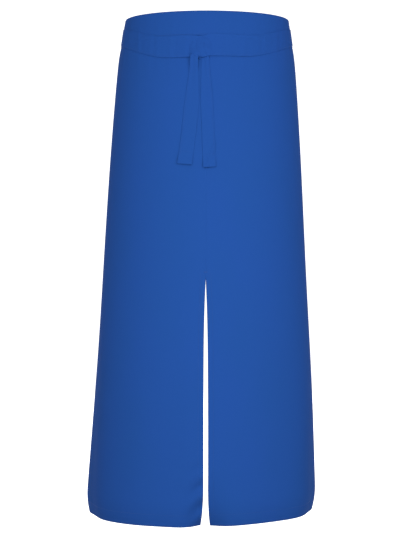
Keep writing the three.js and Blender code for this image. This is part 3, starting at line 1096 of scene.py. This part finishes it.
@dataclass
class Knot:
    """The two ties passed round each other at centre front."""

    room: Workroom
    sink: float = 8.0 * MM
    rest: float = 4.2 * MM
    rise: float = 29.0 * MM
    reach: float = 15.0 * MM
    half_depth: float = 5.6 * MM
    overhang: float = 6.0 * MM
    tuck: float = 1.2 * MM
    turn_shift: float = 3.0 * MM
    turn_slant: float = -4.0 * MM
    across: float = field(init=False)
    drop: float = field(init=False)
    half_length: float = field(init=False)
    turn_half: float = field(init=False)

    def __post_init__(self) -> None:
        """Takes the knot's place and size from the frame."""
        low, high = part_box("knot_core")
        self.half_length = 1.3 * (high.x - low.x) / 2
        low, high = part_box("knot_wrap")
        self.turn_half = 1.15 * (high.x - low.x) / 2
        self.across = (low.x + high.x) / 2
        self.drop = -(low.z + high.z) / 2 + self.sink

    def build(self) -> list[bpy.types.Object]:
        """Makes the core and the turn of cloth round it."""
        return [self.core(), self.wrap()]

    def place(self, along: float, turn: float, size: float) -> Vector:
        """A point of the knot, which leans out over a hollow beneath it.

        Args:
            along: Distance to the right of the knot's middle.
            turn: Angle round the knot, from its top over the front to its bottom.
            size: Distance from the knot's middle line, as a share of the bundle's radius.

        Returns:
            The point in the frame, in metres.
        """
        height = self.rise if math.cos(turn) > 0 else self.reach
        drop = self.drop + size * (self.overhang * math.sin(turn) - height * math.cos(turn))
        tuck = self.tuck * size * (1 - math.cos(turn)) / 2
        swell = math.sin(turn) ** 2.2 if 0 < turn < math.pi / 2 else math.sin(turn)
        off = self.rest + self.half_depth * size * size * swell - tuck
        return self.room.hang((self.across + along, drop, max(off, PANEL_LAYER + CLOTH)))

    def hollow(self, turn: float) -> float:
        """How far the underside is drawn in, as a share of the plain radius."""
        return 1 - 0.45 * math.exp(-(((turn - 0.85 * math.pi) / (0.22 * math.pi)) ** 2))

    def shape(self, name: str, bm: bmesh.types.BMesh, node: str) -> bpy.types.Object:
        """Turns a finished bmesh into a piece of the knot."""
        flat_map = bm.loops.layers.uv.new("Flat")
        for face in bm.faces:
            face.smooth = True
            for loop in face.loops:
                loop[flat_map].uv = (loop.vert.co.x, loop.vert.co.z)
        bmesh.ops.recalc_face_normals(bm, faces=bm.faces)
        return fix_to_skirt(new_piece(name, bm, self.room.cloth), "apron_cloth", node)

    def core(self) -> bpy.types.Object:
        """The bundled cloth that runs through the knot from one tie to the other."""
        bm = bmesh.new()
        bmesh.ops.create_uvsphere(bm, u_segments=64, v_segments=48, radius=1.0)
        bmesh.ops.rotate(bm, verts=bm.verts, matrix=Matrix.Rotation(math.pi / 2, 3, "Y"))
        for vert in bm.verts:
            x, y, z = vert.co
            turn = math.atan2(-y, z)
            pleat = 1 + 0.05 * math.sin(6 * turn + 2.5 * x) + 0.03 * math.sin(9 * turn - 4 * x)
            blunt = math.hypot(y, z) * max(1e-4, 1 - x * x) ** -0.05
            vert.co = self.place(x * self.half_length, turn, blunt * pleat * self.hollow(turn))
        return self.shape("knot_bundle", bm, "knot_core")

    def wrap(self) -> bpy.types.Object:
        """The turn of one tie round the other, pleated and a little slanted."""
        bm = bmesh.new()
        ring = bmesh.ops.create_circle(bm, segments=20, radius=1.0)
        for vert in ring["verts"]:
            x, y, _ = vert.co
            vert.co = Vector((x, 0.0, 1.0 + y * 0.08))
        bmesh.ops.spin(
            bm,
            geom=bm.edges[:] + bm.verts[:],
            axis=(1, 0, 0),
            cent=(0, 0, 0),
            angle=math.tau,
            steps=72,
            use_merge=True,
        )
        for vert in bm.verts:
            x, y, z = vert.co
            turn = math.atan2(-y, z)
            pleat = 1.03 + 0.03 * math.sin(8 * x + 0.6 * math.sin(turn)) - 0.2 * x * x
            along = self.turn_shift + x * self.turn_half + self.turn_slant * math.cos(turn)
            vert.co = self.place(along, turn, math.hypot(y, z) * pleat * self.hollow(turn))
        return self.shape("knot_turn", bm, "knot_wrap")


@dataclass
class Tail:
    """The free end of a tie, which hangs below the knot."""

    room: Workroom
    side: Side
    top_across: float
    end_across: float
    end_width: float
    bend: float
    slant: float
    crest: float
    crinkle: float
    shorter: float = 0.0
    top_width: float = 15 * MM
    end_hem: float = 24 * MM
    curl: float = 3.4 * MM
    roll: float = 0.4 * MM
    cloth: float = 0.4 * MM
    fold: float = 0.2 * MM
    length: float = field(init=False)
    top_drop: float = field(init=False)

    def __post_init__(self) -> None:
        """Takes the tail's top and length from the frame."""
        low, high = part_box(f"{self.side.word}_tie_tail")
        self.top_drop = -high.z
        self.length = high.z - low.z - self.shorter

    def build(self) -> list[bpy.types.Object]:
        """Makes the tail and its stitching."""
        return [self.strip(), self.end_row(), self.edge_row()]

    def creases(self, share: float, q: float, width: float) -> float:
        """Pleats below the knot, a slow roll down the length and a slanting crinkle near the end."""
        squeeze = 1 - width / self.end_width
        pleats = 0.7 * MM * squeeze * (1 + math.sin(math.pi * (3.2 * q + 0.2)))
        wave = math.sin(math.pi * (q - 0.5)) * math.sin(math.pi * (share * 1.4 + 0.1))
        line = (q - 0.5 - 3.6 * (0.94 - share)) / 0.16
        crinkle = self.crinkle * math.exp(-line * line) * ease((share - 0.72) / 0.08)
        return pleats + self.roll * (1 + wave) / 2 + crinkle

    def place(self, share: float, q: float) -> Flat:
        """The flat place a share down the tail and a share q across it."""
        width = mix(self.top_width, self.end_width, ease(share * 2))
        middle = mix(self.top_across, self.end_across, share) + self.bend * math.sin(math.pi * share)
        hang = share * (self.length + 3 * MM) + self.slant * share * (q - 0.5)
        curl = self.curl * ease((share - 0.88) / 0.12) ** 1.5
        crest = self.crest * math.exp(-(((share - 0.05) / 0.07) ** 2))
        rest = PANEL_LAYER + CLOTH / 2 + 0.1 * MM + 2 * self.fold + self.cloth / 2
        off = rest + curl + crest + self.creases(share, q, width)
        return middle + width * (q - 0.5), self.top_drop - 3 * MM + hang, off

    def finish(self, piece: bpy.types.Object, slot: str, *nodes: str) -> bpy.types.Object:
        """Hides the frame's nodes that a piece stands for, if any, and bakes its place into its mesh."""
        if nodes:
            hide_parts(*nodes)
        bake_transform(piece)
        return piece

    def strip(self) -> bpy.types.Object:
        """The tail's cloth, sewn double."""
        columns = turned_stations(self.end_width, 20, first=self.fold, last=self.fold)
        rows = turned_stations(self.length, 90, last=self.fold)

        def lay(column: tuple, row: tuple) -> Flat:
            """The flat place of one point of the tail."""
            across, drop, off = self.place(row[0], column[0])
            return across, drop, off - max(column[1], row[1])

        piece = self.room.sheet(f"{self.side.word}_tail_cloth", columns, rows, lay, self.cloth)
        self.finish(piece, "apron_cloth", f"{self.side.word}_tie_tail")
        return piece

    def end_row(self) -> bpy.types.Object:
        """Stitching across the tail above its end."""
        share = 1 - self.end_hem / self.length
        run = self.end_width - 2 * MM

        def path(s: float) -> Flat:
            """The flat place a distance along the row."""
            across, drop, off = self.place(share, (s + 1 * MM) / self.end_width)
            return across, drop, off + THREAD_SEAT * self.cloth

        name = f"{self.side.word}_tail_end_row"
        piece = self.room.stitches(name, [(path, run)], width=0.5 * MM)
        return self.finish(piece, "sewing_thread", f"{self.side.word}_tail_stitch")

    def edge_row(self) -> bpy.types.Object:
        """Stitching down the tail's outer edge."""
        q = 0.9 if self.side is Side.RIGHT else 0.1

        def path(s: float) -> Flat:
            """The flat place a distance down the row."""
            across, drop, off = self.place(0.12 + s / self.length, q)
            return across, drop, off + THREAD_SEAT * self.cloth

        name = f"{self.side.word}_tail_edge_row"
        piece = self.room.stitches(name, [(path, 0.85 * self.length)], width=0.5 * MM)
        return self.finish(piece, "sewing_thread")


# ---- Studio ----------------------------------------------------------------------------------


@dataclass
class Studio:
    """Pale floor and backdrop, soft lights and the camera."""

    form: BodyForm
    lens: float = 90.2
    distance: float = 2.78
    side_step: float = 0.006
    level: float = 0.511
    clearance: float = 0.16
    floor_radius: float = 8.0
    curve_radius: float = 1.2
    wall_height: float = 9.0

    def build(self) -> None:
        """Makes the floor, the lights, the world and the camera."""
        self.sweep()
        self.lamp("Key light", (0.3, -3.4, 1.1), 3.4, 1.6, 46.0)
        self.lamp("Fill light", (0.15, -1.6, -0.3), 2.8, 0.8, 28.8)
        self.lamp("Back light", (-0.4, 3.6, 1.4), 2.4, 1.6, 90.0)
        self.world()
        self.camera()
        view = bpy.context.scene.view_settings
        view.view_transform = "Standard"
        view.look = "None"

    def sweep(self) -> None:
        """A round pale floor that curves up into a backdrop on every side."""
        floor = -self.form.length - self.clearance
        radius = self.curve_radius
        curve = [
            (self.floor_radius + radius * math.sin(angle), radius - radius * math.cos(angle))
            for angle in np.linspace(0, math.pi / 2, 13)
        ]
        profile = [(0, 0), *curve, (self.floor_radius + radius, self.wall_height)]
        bm = bmesh.new()
        rim = [bm.verts.new((far, 0, floor + height)) for far, height in profile]
        line = [bm.edges.new(pair) for pair in zip(rim, rim[1:])]
        axis = (0, 0, 1)
        bmesh.ops.spin(bm, geom=rim + line, axis=axis, cent=(0, 0, 0), angle=math.tau, steps=96)
        bmesh.ops.remove_doubles(bm, verts=bm.verts, dist=MM)
        bmesh.ops.recalc_face_normals(bm, faces=bm.faces)
        for face in bm.faces:
            face.smooth = True
        material, _, shader = new_material("Studio paper")
        shader.inputs["Base Color"].default_value = (0.9, 0.9, 0.9, 1.0)
        shader.inputs["Roughness"].default_value = 0.9
        shader.inputs["Emission Color"].default_value = (1.0, 1.0, 1.0, 1.0)
        shader.inputs["Emission Strength"].default_value = 0.75
        piece = new_piece("studio_sweep", bm, material)
        piece.visible_diffuse = False
        piece.visible_shadow = False

    def lamp(self, name: str, at: tuple, width: float, height: float, power: float) -> None:
        """A soft rectangular lamp aimed at the middle of the apron."""
        data = bpy.data.lights.new(name, "AREA")
        data.shape = "RECTANGLE"
        data.size = width
        data.size_y = height
        data.energy = power
        lamp = bpy.data.objects.new(name, data)
        bpy.context.collection.objects.link(lamp)
        lamp.location = at
        aim = Vector((0, 0, -self.form.length / 2)) - Vector(at)
        lamp.rotation_euler = aim.to_track_quat("-Z", "Y").to_euler()
        lamp.visible_camera = False

    def world(self) -> None:
        """Even pale light from all round."""
        world = bpy.data.worlds.new("Studio world")
        world.use_nodes = True
        background = world.node_tree.nodes["Background"]
        background.inputs["Color"].default_value = (1.0, 1.0, 1.0, 1.0)
        background.inputs["Strength"].default_value = 0.55
        bpy.context.scene.world = world

    def camera(self) -> None:
        """A long lens level with the middle of the apron, straight in front."""
        data = bpy.data.cameras.new("Camera")
        data.lens = self.lens
        data.sensor_width = 36.0
        camera = bpy.data.objects.new("Camera", data)
        bpy.context.collection.objects.link(camera)
        camera.location = (self.side_step, -self.distance, -self.level)
        camera.rotation_euler = (math.pi / 2, 0, 0)
        bpy.context.scene.camera = camera


def main() -> None:
    """Builds the studio and every piece of the apron, and reports each one."""
    logging.basicConfig(level=logging.INFO, format="%(message)s")
    form = BodyForm.from_frame()
    Studio(form).build()
    blue = (0.0106, 0.0535, 0.231)
    room = Workroom(
        form=form,
        creases=Creases(form),
        cloth=WovenFinish("Royal blue twill", blue).make(),
        thread=ThreadFinish("Royal blue thread", (0.0095, 0.048, 0.208)).make(),
        lining=LiningFinish("Stiffener", (0.72, 0.72, 0.70)).make(),
    )
    assemblies = [
        Waistband(room),
        SkirtHalf(room, Side.LEFT),
        SkirtHalf(room, Side.RIGHT),
        CentreSeam(room),
        Tie(room, Side.LEFT, is_upper=True),
        Tie(room, Side.RIGHT, is_upper=False),
        Knot(room),
        Tail(
            room,
            Side.LEFT,
            top_across=-23 * MM,
            end_across=-40 * MM,
            end_width=28 * MM,
            bend=3 * MM,
            slant=3 * MM,
            crest=5.5 * MM,
            crinkle=0.0,
            shorter=6 * MM,
        ),
        Tail(
            room,
            Side.RIGHT,
            top_across=-3 * MM,
            end_across=8.5 * MM,
            end_width=24 * MM,
            bend=0.0,
            slant=-1.5 * MM,
            crest=0.0,
            crinkle=1.5 * MM,
        ),
    ]
    for assembly in assemblies:
        for piece in assembly.build():
            log.info("%s: %d faces", piece.name, len(piece.data.polygons))


if __name__ == "__main__":
    main()
